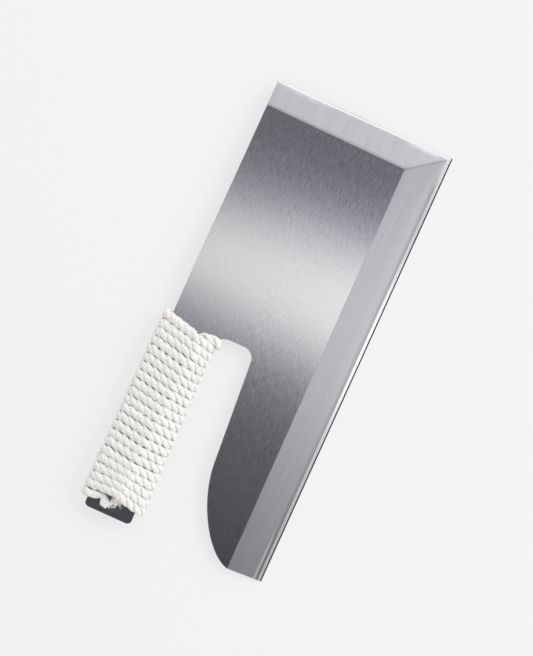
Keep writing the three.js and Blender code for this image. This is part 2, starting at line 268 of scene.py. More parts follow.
# Main columns run from the slot wall to the tip, leaning with the tip bevel above the mitre
wall_y = plan[:, grip_columns, 1].copy()
wall_y[heel_row : tang_row + 1] = np.linspace(wall_y[heel_row], wall_y[tang_row], wall_rows + 1)
column_share = np.concatenate([np.linspace(0, 1, blade_columns + 1), np.ones(last_level)])
rough_x = junction + (mitre_x - junction) * column_share
rough_x[blade_columns:] = edge_length - from_tip(np.array([mitre_y]))[::-1, 0]
blade_y = np.repeat(wall_y[:, None], len(rough_x), axis=1)
blade_y[: last_level + 1] = from_edge(rough_x)
blade_y[last_level + 1 : heel_row + 1] = fill_rows(blade_y[last_level], blade_y[heel_row])
leaning = np.maximum(blade_y[:, -1], mitre_y)
tip_x = edge_length - from_tip(leaning)[::-1].T
blade_x = np.concatenate(
    [junction + (tip_x[:, :1] - junction) * column_share[None, :blade_columns], tip_x],
    axis=1,
)
plan[:, grip_columns:] = np.stack([blade_x, blade_y], axis=2)

# Heights of the front: the lower of the edge's and the tip's ground faces, which meet in the mitre
row_z = np.concatenate([ground_z, np.full(top_row - last_level, plate_thickness)])
column_z = np.concatenate([np.full(tip_column, plate_thickness), ground_z[::-1]])
front_z = np.minimum(row_z[:, None], column_z[None, :])

# The border, clockwise seen from the front: its cells in order, where the true outline runs there,
# and how far the face keeps in from it, less where the steel is thin
border = (
    [(j, 0) for j in range(heel_row)]
    + [(heel_row, i) for i in range(grip_columns)]
    + [(j, grip_columns) for j in range(heel_row, tang_row)]
    + [(tang_row, i) for i in range(grip_columns, 0, -1)]
    + [(j, 0) for j in range(tang_row, top_row)]
    + [(top_row, i) for i in range(end_column)]
    + [(j, end_column) for j in range(top_row, 0, -1)]
    + [(0, i) for i in range(end_column, 0, -1)]
)
border_row, border_column = np.array(border).T
outline = plan.copy()
outline[: heel_row + 1, 0] = belly_end * (plan[: heel_row + 1, 0, 1] / belly_end[1])[:, None]
outline[heel_row, : grip_columns + 1] = heel_curve
outline[heel_row : tang_row + 1, grip_columns, 0] = slot_wall
outline[tang_row, : grip_columns + 1] = tang_lower
outline[tang_row:, 0, 0] = -tang_past_heel
outline[tang_row, 0] = tang_lower[0]
outline[top_row, : grip_columns + 1] = tang_upper
outline[top_row, grip_columns:, 1] = blade_height
outline[:, end_column, 0] = edge_length
outline[0, :, 1] = 0.0
thin_share = 0.45
ease = np.minimum(arris_ease, thin_share * front_z)
plan[:heel_row, 0] = outline[:heel_row, 0] + ease[:heel_row, 0, None] * np.array([1.0, 0.0])
plan[top_row, grip_columns:, 1] = blade_height - ease[top_row, grip_columns:]
plan[:, end_column, 0] = edge_length - ease[:, end_column]
plan[0, :, 1] = ease[0]
plan[tang_row + 1 : top_row, 0, 0] = -tang_past_heel + arris_ease

# Vertices: the front face, the back face under it, and the rounded rim between them
valid = ~np.isnan(plan[:, :, 0])
front_index = np.where(valid, np.cumsum(valid).reshape(valid.shape) - 1, -1)
face_count = valid.sum()
back_index = np.where(valid, front_index + face_count, -1)
rim_arc_steps = 4
arc_angle = np.linspace(0, np.pi / 2, rim_arc_steps + 1)
at_border = (border_row, border_column)
rim_in = plan[at_border][:, None]
rim_out = outline[at_border][:, None]
rim_ease = ease[at_border][:, None]
rim_front = front_z[at_border][:, None]
rim_share = np.concatenate([np.sin(arc_angle[1:]), np.sin(arc_angle[:0:-1])])
rim_depth = np.concatenate([1 - np.cos(arc_angle[1:]), np.zeros(rim_arc_steps)])
rim_height = np.concatenate([np.zeros(rim_arc_steps), 1 - np.cos(arc_angle[:0:-1])])
rim_z = np.where(
    np.arange(2 * rim_arc_steps) < rim_arc_steps, rim_front - rim_ease * rim_depth, rim_ease * rim_height
)
rim_xy = rim_in + (rim_out - rim_in) * rim_share[None, :, None]
rim_points = np.concatenate([rim_xy, rim_z[:, :, None]], axis=2)
rim_index = 2 * face_count + np.arange(rim_z.size).reshape(rim_z.shape)
rim_index = np.concatenate(
    [front_index[at_border][:, None], rim_index, back_index[at_border][:, None]], axis=1
)
front_points = np.concatenate([plan[valid], front_z[valid][:, None]], axis=1)
back_points = np.concatenate([plan[valid], np.zeros((face_count, 1))], axis=1)
blade_points = np.concatenate([front_points, back_points, rim_points.reshape(-1, 3)])


def grid_quads(index, left_out=None):
    """The four corners of every cell of an index grid, without the cells that are left out."""
    quads = np.stack([index[:-1, :-1], index[:-1, 1:], index[1:, 1:], index[1:, :-1]], axis=2)
    return quads.reshape(-1, 4) if left_out is None else quads[~left_out]


slot_cell = np.zeros(np.array(front_index.shape) - 1, bool)
slot_cell[heel_row:tang_row, :grip_columns] = True
mitre_level = np.arange(last_level)
mitre_cell = np.zeros_like(slot_cell)
mitre_cell[mitre_level, end_column - 1 - mitre_level] = True
front_quads = grid_quads(front_index, slot_cell | mitre_cell)
back_quads = grid_quads(back_index, slot_cell)[:, ::-1]
rim_quads = grid_quads(np.concatenate([rim_index, rim_index[:1]]))
mitre_low = front_index[mitre_level, end_column - mitre_level]
mitre_high = front_index[mitre_level + 1, end_column - 1 - mitre_level]
mitre_left = front_index[mitre_level, end_column - 1 - mitre_level]
mitre_right = front_index[mitre_level + 1, end_column - mitre_level]
mitre_tris = np.concatenate(
    [
        np.stack([mitre_low, mitre_high, mitre_left], axis=1),
        np.stack([mitre_low, mitre_right, mitre_high], axis=1),
    ]
)


def make_mesh(name, points, faces, sharp_pairs=None):
    """A smooth-shaded mesh object in metres from points in the blade's millimetres. Edges between the
    paired vertices are kept sharp."""
    mesh = bpy.data.meshes.new(name)
    mesh.from_pydata(heel_corner + MM * points, [], [face.tolist() for group in faces for face in group])
    mesh.polygons.foreach_set("use_smooth", np.ones(len(mesh.polygons), bool))
    if sharp_pairs is not None:
        ends = np.empty(2 * len(mesh.edges), np.int32)
        mesh.edges.foreach_get("vertices", ends)
        ends = np.sort(ends.reshape(-1, 2).astype(np.int64), axis=1)
        wanted = np.sort(sharp_pairs.astype(np.int64), axis=1)
        count = len(points)
        sharp = np.isin(ends[:, 0] * count + ends[:, 1], wanted[:, 0] * count + wanted[:, 1])
        mesh.attributes.new("sharp_edge", "BOOLEAN", "EDGE").data.foreach_set("value", sharp)
    mesh.update()
    made = bpy.data.objects.new(name, mesh)
    bpy.context.scene.collection.objects.link(made)
    return made


def pairs_along(index):
    """Neighbouring pairs of a row of vertex numbers."""
    return np.stack([index[:-1], index[1:]], axis=1)


land_level = 1
front_loop = front_index[at_border]
back_loop = back_index[at_border]
sharp_pairs = np.concatenate(
    [
        pairs_along(np.append(front_loop, front_loop[:1])),
        pairs_along(np.append(back_loop, back_loop[:1])),
        pairs_along(front_index[land_level, : end_column + 1 - land_level]),
        pairs_along(front_index[hone_level, : end_column + 1 - hone_level]),
        pairs_along(front_index[last_level, : tip_column + 1]),
        pairs_along(front_index[last_level:, tip_column]),
        pairs_along(front_index[land_level:, end_column - land_level]),
        pairs_along(front_index[hone_level:, end_column - hone_level]),
        np.stack([mitre_low, mitre_high], axis=1),
    ]
)
blade = make_mesh("blade_plate", blade_points, [front_quads, back_quads, rim_quads, mitre_tris], sharp_pairs)

# Plan coordinates on the faces, across the blade first, turn the gloss of the brushed grain
corner_vertex = np.empty(len(blade.data.loops), np.int32)
blade.data.loops.foreach_get("vertex_index", corner_vertex)
grain_map = blade.data.uv_layers.new(name="grain")
grain_map.data.foreach_set("uv", (blade_points[corner_vertex, 1::-1] / edge_length).ravel())

# Each face's finish: the front's ground faces are told apart by height, and all the rest is flat
flat_finish, bevel_finish, hone_finish, land_finish = range(4)
height_slack = 0.0001
polygon_middle = np.empty(3 * len(blade.data.polygons))
blade.data.polygons.foreach_get("center", polygon_middle)
middle_z = (polygon_middle.reshape(-1, 3)[:, 2] - heel_corner[2]) / MM
face_number = np.arange(len(middle_z))
back_or_rim = (face_number >= len(front_quads)) & (face_number < len(middle_z) - len(mitre_tris))
finish_number = np.select(
    [
        back_or_rim,
        middle_z < land_height,
        middle_z < hone_height,
        middle_z < plate_thickness - height_slack,
    ],
    [flat_finish, land_finish, hone_finish, bevel_finish],
    flat_finish,
)
blade.data.polygons.foreach_set("material_index", finish_number.astype(np.int32))


def add_node(tree, kind, inputs=None, **settings):
    """One shader node with its settings. An input is set to a value or linked from another node."""
    made = tree.nodes.new(kind)
    for key, value in settings.items():
        setattr(made, key, value)
    for key, value in (inputs or {}).items():
        if isinstance(value, bpy.types.NodeSocket):
            tree.links.new(value, made.inputs[key])
        else:
            made.inputs[key].default_value = value
    return made


def new_material(name):
    """An empty node material and its tree."""
    material = bpy.data.materials.new(name)
    material.use_nodes = True
    material.node_tree.nodes.clear()
    return material, material.node_tree


def mapped(tree, value, start, end, low=0.0, high=1.0, smooth=False):
    """A number that goes from low to high as the value goes from start to end, evenly or with a smooth
    start and stop, and holds past them."""
    span = {"Value": value, "From Min": start, "From Max": end, "To Min": low, "To Max": high}
    kind = "SMOOTHSTEP" if smooth else "LINEAR"
    return add_node(tree, "ShaderNodeMapRange", span, interpolation_type=kind).outputs["Result"]


def arithmetic(tree, operation, *numbers):
    """One operation on numbers."""
    made = add_node(tree, "ShaderNodeMath", dict(enumerate(numbers)), operation=operation)
    return made.outputs["Value"]


def part_by_part(tree, operation, first, second):
    """One operation on two colours or places, part by part."""
    made = add_node(tree, "ShaderNodeVectorMath", {0: first, 1: second}, operation=operation)
    return made.outputs["Vector"]


def scaled(tree, colour, scale):
    """A colour times a number."""
    made = add_node(tree, "ShaderNodeVectorMath", {0: colour, "Scale": scale}, operation="SCALE")
    return made.outputs["Vector"]


def mixed(tree, share, first, second):
    """A colour that goes from the first to the second as the share goes from 0 to 1."""
    sides = {"Factor": share, "A": first, "B": second}
    return add_node(tree, "ShaderNodeMix", sides, data_type="RGBA").outputs["Result"]


def colour_ramp(tree, share, stops, kind="EASE"):
    """A colour that changes with a share from 0 to 1 through stops, each a share and the colour there."""
    made = add_node(tree, "ShaderNodeValToRGB", {"Fac": share})
    ramp = made.color_ramp
    halfway = 0.5
    while len(ramp.elements) < len(stops):
        ramp.elements.new(halfway)
    for element, (position, colour) in zip(ramp.elements, stops):
        element.position = position
        element.color = (*colour, 1)
    ramp.interpolation = kind
    return made.outputs["Color"]


def grain_noise(tree, lines_along, lines_across, detail=0.0):
    """Noise stretched into scratches: lines_along and lines_across are its cells per metre along the
    blade and across it."""
    place = add_node(tree, "ShaderNodeTexCoord").outputs["Object"]
    stretched = add_node(
        tree,
        "ShaderNodeMapping",
        {"Vector": place, "Scale": (lines_along, lines_across, lines_across)},
    ).outputs["Vector"]
    noise = add_node(tree, "ShaderNodeTexNoise", {"Vector": stretched, "Scale": 1.0, "Detail": detail})
    return noise.outputs["Fac"]


# Noise lies mostly between these two values
noise_low, noise_high = 0.3, 0.7


def brushed_flat():
    """Satin flat: fine hairlines along the blade tilt its gloss a little, vary it, and stretch it across.
    Slow waves of the plate bend the lights it mirrors."""
    dark_line, light_line = (0.565, 0.567, 0.586), (0.658, 0.66, 0.679)
    glossiest, dullest = 0.165, 0.19
    wave_height = 0.000025
    hairline_depth = 0.000004
    material, tree = new_material("brushed_flat_steel")
    wave = grain_noise(tree, lines_along=22.0, lines_across=22.0)
    hairline = grain_noise(tree, lines_along=210.0, lines_across=3000.0)
    fine_line = grain_noise(tree, lines_along=240.0, lines_across=3200.0)
    waved = add_node(tree, "ShaderNodeBump", {"Height": wave, "Strength": 1.0, "Distance": wave_height})
    scratches = {"Height": hairline, "Strength": 1.0, "Distance": hairline_depth}
    bump = add_node(tree, "ShaderNodeBump", {**scratches, "Normal": waved.outputs["Normal"]})
    grain = add_node(tree, "ShaderNodeTangent", direction_type="UV_MAP", uv_map="grain")
    shader = add_node(
        tree,
        "ShaderNodeBsdfPrincipled",
        {
            "Base Color": colour_ramp(tree, fine_line, [(0.25, dark_line), (0.75, light_line)], "LINEAR"),
            "Metallic": 1.0,
            "Roughness": mapped(tree, fine_line, noise_low, noise_high, glossiest, dullest),
            "Anisotropic": 0.85,
            "Tangent": grain.outputs["Tangent"],
            "Normal": bump.outputs["Normal"],
        },
    )
    add_node(tree, "ShaderNodeOutputMaterial", {"Surface": shader.outputs["BSDF"]})
    return material


# Where the tip and the edge end, in metres, the run along the tip and a shade that changes nothing
tip_border = heel_corner[0] + MM * edge_length
edge_border = heel_corner[1]
tip_run = 100.0
no_shade = (1.0, 1.0, 1.0, 1.0)


def shade_behind(tree, axis, border, reach, tones):
    """A grey that changes smoothly along one axis, through tones given at distances in millimetres
    behind a border on that axis. The reach is less than 0 where behind is down the axis."""
    place = add_node(tree, "ShaderNodeTexCoord").outputs["Object"]
    parts = add_node(tree, "ShaderNodeSeparateXYZ", {"Vector": place}).outputs
    share = mapped(tree, parts[axis], border, border + MM * reach)
    stops = [(distance / abs(reach), (tone, tone, tone)) for distance, tone in tones]
    return colour_ramp(tree, share, stops)


def bevel_painted_reflections(tree, colour):
    """Painted reflections on the wide bevel, in place of the small curves of its grinding: darker just
    behind the edge's hone, but brighter there at the tip's corner, with a second bright painted line near
    the heel. It is painted brighter behind the tip's hone towards both ends of the tip, and a soft painted
    dark line lies on the mitre, in place of its rounded ridge, fading with the distance square to it."""
    along_edge = [(2.2, 0.84), (3.0, 0.84), (4.7, 1.05), (11.0, 1.0)]
    at_corner = [(2.2, 1.3), (3.2, 1.22), (4.4, 1.0)]
    at_heel = [(2.2, 0.7), (3.1, 0.74), (3.8, 1.55), (4.25, 1.7), (5.0, 1.0)]
    behind_tip = [(1.0, 1.6), (1.8, 1.4), (2.6, 1.2), (3.9, 1.0)]
    tip_ends = [(5.0, 0.0), (9.0, 1.0), (13.0, 1.0), (31.0, 0.05)]
    tip_ends += [(62.0, 0.1), (78.0, 0.6), (88.0, 0.6), (96.0, 0.2)]
    edge_reach = 12.0
    mitre_line_reach = 1.4
    mitre_line_tone = 0.84
    near_corner = shade_behind(tree, "X", tip_border, -30.0, [(9.0, 1.0), (21.0, 0.0)])
    near_heel = shade_behind(tree, "X", heel_corner[0], 40.0, [(12.0, 1.0), (34.0, 0.0)])
    edge_shade = shade_behind(tree, "Y", edge_border, edge_reach, along_edge)
    for share, tones in ((near_corner, at_corner), (near_heel, at_heel)):
        local_shade = shade_behind(tree, "Y", edge_border, edge_reach, tones)
        edge_shade = mixed(tree, share, edge_shade, local_shade)
    near_ends = shade_behind(tree, "Y", edge_border, tip_run, tip_ends)
    tip_shade = mixed(tree, near_ends, no_shade, shade_behind(tree, "X", tip_border, -4.0, behind_tip))
    colour = part_by_part(tree, "MULTIPLY", colour, edge_shade)
    colour = part_by_part(tree, "MULTIPLY", colour, tip_shade)
    mitre_side = np.array([mitre_y, edge_length - mitre_x, 0.0]) / np.hypot(mitre_y, edge_length - mitre_x)
    place = add_node(tree, "ShaderNodeTexCoord").outputs["Object"]
    from_corner = part_by_part(tree, "SUBTRACT", place, (tip_border, edge_border, 0.0))
    both = {0: from_corner, 1: tuple(mitre_side)}
    off_mitre = add_node(tree, "ShaderNodeVectorMath", both, operation="DOT_PRODUCT").outputs["Value"]
    off_mitre = arithmetic(tree, "ABSOLUTE", off_mitre)
    line_shade = mapped(tree, off_mitre, 0.0, MM * mitre_line_reach, mitre_line_tone, smooth=True)
    return scaled(tree, colour, line_shade)


def tip_painted_dark_line(tree, colour):
    """A thin dark line painted as shade along the very border of the tip, as strong as the place along the
    tip gives it: full past the middle, fainter towards the spine and faintest near the edge."""
    dark_line = [(0.0, 0.06), (0.14, 0.06), (0.2, 1.0)]
    line_strength = [(8.0, 0.25), (20.0, 0.0), (30.0, 0.3), (58.0, 1.0)]
    line_strength += [(66.0, 1.0), (80.0, 0.4), (95.0, 0.4)]
    strength = shade_behind(tree, "Y", edge_border, tip_run, line_strength)
    line_shade = mixed(tree, strength, no_shade, shade_behind(tree, "X", tip_border, -1.0, dark_line))
    return part_by_part(tree, "MULTIPLY", colour, line_shade)


def ground_steel(name, low, high, roughness, painted_light=None):
    """Ground faces: smoother than the flat, with only faint bands along the blade in tone and gloss, and
    with their own painted highlights and shade on top where they are given."""
    gloss_spread = 0.01
    material, tree = new_material(name)
    band = grain_noise(tree, lines_along=18.0, lines_across=300.0, detail=2.0)
    colour = colour_ramp(tree, band, [(noise_low, low), (noise_high, high)], "LINEAR")
    duller, glossier = roughness + gloss_spread, roughness - gloss_spread
    shader = add_node(
        tree,
        "ShaderNodeBsdfPrincipled",
        {
            "Base Color": painted_light(tree, colour) if painted_light else colour,
            "Metallic": 1.0,
            "Roughness": mapped(tree, band, noise_low, noise_high, glossier, duller),
        },
    )
    add_node(tree, "ShaderNodeOutputMaterial", {"Surface": shader.outputs["BSDF"]})
    return material


for finish in (
    brushed_flat(),
    ground_steel("ground_bevel_steel", (0.551, 0.544, 0.572), (0.589, 0.581, 0.612), 0.265, bevel_painted_reflections),
    ground_steel("honed_steel", (0.75, 0.745, 0.75), (0.79, 0.785, 0.79), 0.14, tip_painted_dark_line),
    # The land's near-black colour is painted shade, standing for the dark that the steep land mirrors
    ground_steel("edge_land_painted_dark_steel", (0.026, 0.028, 0.036), (0.04, 0.043, 0.054), 0.35),
):
    blade.data.materials.append(finish)
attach(blade, "root")
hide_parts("blade")

# Handle cord
# One length of white three-strand cotton cord. One end lies along the tang under the turns, the cord
# bends round the tang's lower edge beside the blade, and winds to the butt in close turns.
cord_seat_gap = 0.3
cord_width = 3.95
cord_thickness = 3.6
cord_stack_gap = 0.5
cord_bend_inside = 1.5
first_turn_from_slot = 0.95
last_turn_from_butt = 7.2
first_turn_x = slot_wall - first_turn_from_slot
last_turn_x = last_turn_from_butt - tang_past_heel
turn_count = 21
least_slant = 2.8
first_extra_slant = 4.3
slant_fade = 7.0
hollow_bow = -0.6
hollow_reach = 3.0
butt_bow = 3.7
butt_bow_reach = 1.9
butt_bow_skew = 0.75
loose_turns = [0, 1, 2, 3, 4, 5, 7]
loose_shifts = [0.0, 0.15, 0.42, -0.28, -0.48, -0.3, 0.0]
turn_wander = 0.09
first_turn_push = 0.2
last_turn_push = 0.35
cord_rise_at_blade = 0.45
loop_drift = 1.0
tail_start_from_butt = 4.3
tail_start_rise = 11.5
tail_bend_from_slot = 3.75
tail_bend_rise = 5.3
tail_start = np.array([tail_start_from_butt - tang_past_heel, tang_end_bottom + tail_start_rise])
face_bend = cord_bend_inside + cord_width / 2
tail_bend = np.array([slot_wall - tail_bend_from_slot - face_bend, slot_top + tail_bend_rise])
finish_bends = [(6.4, 97.6), (6.9, 95.7), (7.8, 94.3), (7.8, 92.8), (5.6, 91.0), (2.2, 89.1)]
edge_bend = cord_seat_gap + cord_thickness / 2
stack_bend = cord_stack_gap + cord_thickness / 2
on_face = plate_thickness + edge_bend
tail_top = on_face + cord_thickness / 2
pitch = (first_turn_x - last_turn_x) / turn_count
bend_step = np.radians(6)
hook_points = 16
finish_steps = 8


def tang_top_at(x):
    """Height at which the cord bends over the tang's upper edge, which rises evenly from the blade to the
    butt. The turns beside the blade stand a little off it."""
    return np.interp(x, [-tang_past_heel, slot_wall], [tang_end_top, blade_height + cord_rise_at_blade])


def tang_bottom_at(x):
    """Height of the tang's lower edge under the cord's inner half, round the fillet into the slot."""
    seat = np.array([x - cord_width / 4, x + cord_width / 4])
    return np.interp(seat, tang_lower[arc_steps:, 0], tang_lower[arc_steps:, 1]).min()


turn_shifts = turn_wander * np.random.default_rng(4).normal(size=turn_count + 1)
turn_shifts[[0, -2, -1]] = [first_turn_push, last_turn_push, 0.0]


def turn_start(k):
    """Where a turn starts on the spine side: evenly spaced, with small shifts as wound by hand."""
    return first_turn_x - k * pitch + turn_shifts[k]


def turn_slant(k):
    """How far a turn runs to the butt while it crosses the front: most beside the blade."""
    return least_slant + first_extra_slant * np.exp(-k / slant_fade)


def turn_bow(k, share):
    """How far a turn stands off its straight line across the front, as a squared sine of the share of the
    way: hollow on most turns, full at the butt and soonest there, and parted between the loose ones."""
    evenly = np.sin(np.pi * share) ** 2
    early = np.sin(np.pi * share**butt_bow_skew) ** 2
    hollow = hollow_bow * (1 - np.exp(-k / hollow_reach))
    full = butt_bow * np.exp(-(((turn_count - 1 - k) / butt_bow_reach) ** 2) / 2)
    return (hollow + np.interp(k, loose_turns, loose_shifts)) * evenly + full * early


def half_turn(bends, start_angle, end_angle, from_x, to_x):
    """Points and outward ways of a chain of bends across the tang. Every bend (y, z, radius) is an arc,
    the runs between touch both arcs, and x follows the length with a slow start and end, over the edges."""
    bends = np.array(bends, float)
    step = np.diff(bends, axis=0)
    lean = np.arccos(-step[:, 2] / np.hypot(step[:, 0], step[:, 1]))
    way = np.arctan2(step[:, 1], step[:, 0]) - lean
    way = way + 2 * np.pi * np.ceil((start_angle - way) / (2 * np.pi))
    turns = np.concatenate([[start_angle], way, [end_angle]])
    pieces = []
    for (y, z, radius), start, end in zip(bends, turns[:-1], turns[1:]):
        count = max(2, int(round((end - start) / bend_step)) + 1)
        angle = np.linspace(start, end, count)
        pieces.append(np.stack([y + radius * np.cos(angle), z + radius * np.sin(angle), angle], axis=1))
    across = np.concatenate(pieces)
    edge_run = plate_thickness / 2
    gone = edge_run + length_along(across[:, :2])
    total = gone[-1] + edge_run
    easing = edge_run + edge_bend * np.pi / 2
    span = total - easing
    share = (gone - easing / 2) / span
    share = np.where(gone < easing, gone**2 / (2 * easing * span), share)
    share = np.where(total - gone < easing, 1 - (total - gone) ** 2 / (2 * easing * span), share)
    x = from_x + (to_x - from_x) * share
    place = np.column_stack([x, across[:, 0], across[:, 1]])
    outward = np.column_stack([0 * x, np.cos(across[:, 2]), np.sin(across[:, 2])])
    return np.hstack([place, outward])


def tail_height_at(x):
    """Height of the buried end's middle line, which runs straight from its start to its bend."""
    return np.interp(x, [tail_start[0], tail_bend[0]], [tail_start[1], tail_bend[1]])


def share_between(value, start, end):
    """How far a value has come on the way from a start to an end, from 0 to 1."""
    return np.clip((value - start) / (end - start), 0, 1)


def front_of_turn(k):
    """Over the spine side, across the buried end and down to the edge side, slanting to the butt, with
    its bow added."""
    from_x = turn_start(k)
    slant = turn_slant(k)
    top = tang_top_at(from_x)
    bottom = tang_bottom_at(from_x - slant)
    crossing = (top - tail_height_at(from_x)) / (top - bottom)
    over_tail = tail_height_at(from_x - slant * crossing)
    bends = [
        (top, plate_thickness, edge_bend),
        (over_tail + cord_width / 4, tail_top, stack_bend),
        (over_tail - cord_width / 4, tail_top, stack_bend),
        (bottom, plate_thickness, edge_bend),
    ]
    front = half_turn(bends, 0.0, np.pi, from_x, from_x - slant)
    front[:, 0] += turn_bow(k, share_between(front[:, 1], top, bottom))
    return front


def back_of_turn(from_x, to_x):
    """Round the edge side and straight up the back to the spine side."""
    bends = [(tang_bottom_at(from_x), 0.0, edge_bend), (tang_top_at(to_x), 0.0, edge_bend)]
    return half_turn(bends, np.pi, 2 * np.pi, from_x, to_x)


def on_front_face(points):
    """Plan points lifted onto the tang's front face, facing out of it."""
    points = np.atleast_2d(points)
    ones = np.ones(len(points))
    return np.column_stack([points, on_face * ones, 0 * ones, 0 * ones, ones])


def face_hook(start, heading, turn):
    """Plan points of an arc on the face, from a place and heading through a turn."""
    angle = heading + turn * np.linspace(0, 1, hook_points)
    side = np.sign(turn)
    x = start[0] + side * face_bend * (np.sin(angle) - np.sin(heading))
    y = start[1] - side * face_bend * (np.cos(angle) - np.cos(heading))
    return np.column_stack([x, y])


def smooth_through(points, steps):
    """Plan points of a curve through given ones: between each two, the cubic whose slope at either end
    is half the step between that end's neighbours."""
    points = np.asarray(points, float)
    padded = np.concatenate([[2 * points[0] - points[1]], points, [2 * points[-1] - points[-2]]])
    before, start, end, after = (padded[i : len(padded) - 3 + i, None] for i in range(4))
    t = np.linspace(0, 1, steps + 1)[:-1, None]
    curve = start + 0.5 * t * (end - before) + t**2 * (before - 2.5 * start + 2 * end - 0.5 * after)
    curve = curve + 0.5 * t**3 * (3 * (start - end) + after - before)
    return np.concatenate([curve.reshape(-1, 2), points[-1:]])


def cord_route():
    """The whole cord as one line of places and outward ways: buried end, turns and finishing end. The
    last column counts the turns made, evenly along the length of each."""
    straight_down = -np.pi / 2
    tail_heading = np.arctan2(*(tail_bend - tail_start)[::-1])
    tail_hook = face_hook(tail_bend, tail_heading, straight_down - tail_heading)
    bend_x = tail_hook[-1, 0]
    bend_bottom = [(tang_bottom_at(bend_x), plate_thickness, edge_bend)]
    route = [
        on_front_face(tail_start),
        on_front_face(tail_hook),
        half_turn(bend_bottom, np.pi / 2, np.pi, bend_x, bend_x - loop_drift),
        back_of_turn(bend_x - loop_drift, turn_start(0)),
    ]
    turn_rows = []
    for k in range(turn_count):
        turn_rows.append(sum(len(piece) for piece in route))
        route.append(front_of_turn(k))
        route.append(back_of_turn(turn_start(k) - turn_slant(k), turn_start(k + 1)))
    turn_rows.append(sum(len(piece) for piece in route))
    top = tang_top_at(last_turn_x)
    route.append(half_turn([(top, plate_thickness, edge_bend)], 0.0, np.pi / 2, last_turn_x, last_turn_x))
    finish = smooth_through([(last_turn_x, top), *finish_bends], finish_steps)
    route.append(on_front_face(finish[1:]))
    route = np.concatenate(route)
    gone = length_along(route[:, :3])
    at_turn = gone[turn_rows]
    one_turn = (at_turn[-1] - at_turn[0]) / turn_count
    before = np.minimum(gone - at_turn[0], 0) / one_turn
    after = np.maximum(gone - at_turn[-1], 0) / one_turn
    turns_made = np.interp(gone, at_turn, np.arange(turn_count + 1)) + before + after
    return np.column_stack([route, turns_made])


def evenly_along(route, spacing):
    """The route resampled at an even spacing, with repeated points left out, and each sample's length."""
    least_step = 1e-6
    step = np.linalg.norm(np.diff(route[:, :3], axis=0), axis=1)
    route = route[np.append(True, step > least_step)]
    gone = length_along(route[:, :3])
    length = np.linspace(0, gone[-1], int(gone[-1] / spacing) + 1)
    return np.column_stack([np.interp(length, gone, column) for column in route.T]), length


def softened(values, reach):
    """Each column averaged over its neighbours with a bell-shaped weight, the ends held."""
    weight = np.exp(-0.5 * (np.arange(-3 * reach, 3 * reach + 1) / reach) ** 2)
    weight = weight / weight.sum()
    padded = np.pad(values, ((3 * reach, 3 * reach), (0, 0)), mode="edge")
    return np.column_stack([np.convolve(column, weight, mode="valid") for column in padded.T])


strand_count = 3
lays_per_turn = 5
lay_start = 1 / 6
strand_circle = 1.4
strand_radial = 1.24
strand_at_side = 1.36
strand_at_face = 1.66
strand_at_tight_face = 1.9
tight_turns = [0.0, 1.2, 1.8, 4.0, 15.5, 18.5, 19.8, 20.3]
tightness = [0.2, 0.8, 0.8, 0.0, 0.0, 0.9, 0.9, 0.2]
slim_from = 20.9
slim_to = 21.1
slim_by = 0.15
lay_wander = 0.45
pressed_thickness = 0.86
press_power = 2.4
groove_radius = 1.45
worn_groove = 2.1
worn_crest = 2.3
worn_from = 79.5
worn_to = 85.0
worn_at_side = 0.45
worn_at_top = 0.85
strand_sides = 16
route_spacing = 0.5
route_softening = 1
neighbour_search = 40
contact_gap = 0.02
# Painted shade between turns where they press together, weaker on hollows facing the edge side, where the
# key lamp lights them
pinch_width = 0.7
pinch_top = 1.05
pinch_depth = 0.8
hollow_facing = [-0.4, -0.1, 0.35, 0.75]
hollow_shade = [0.6, 1.0, 1.0, 0.45]
seat_depth = 2.02
give = 0.15
tail_cuts = (3.2, 2.0, 1.0)
tail_fan_reach = 11.0
tail_fan_step = 2.4
tail_fan_level = -0.5
finish_cuts = (0.9, 0.0, 0.5)
finish_fan_reach = 4.0
finish_fan_step = 1.3
finish_fan_level = 0.1
end_rounding = 0.9
least_end = 0.01

route, route_length = evenly_along(cord_route(), route_spacing)
route = softened(route, route_softening)
place, outward, turns_made = route[:, :3], route[:, 3:6], route[:, 6]
tail_fan = np.exp(-((route_length / tail_fan_reach) ** 2))[:, None]
finish_fan = np.exp(-(((route_length[-1] - route_length) / finish_fan_reach) ** 2))[:, None]
fan = tail_fan + finish_fan
lay_shifts = lay_wander * np.random.default_rng(9).normal(size=turn_count + 4)
along = np.gradient(place, axis=0)
along = along / np.linalg.norm(along, axis=1, keepdims=True)
outward = outward - along * (outward * along).sum(axis=1, keepdims=True)
outward = outward / np.linalg.norm(outward, axis=1, keepdims=True)
sideways = np.cross(outward, along)


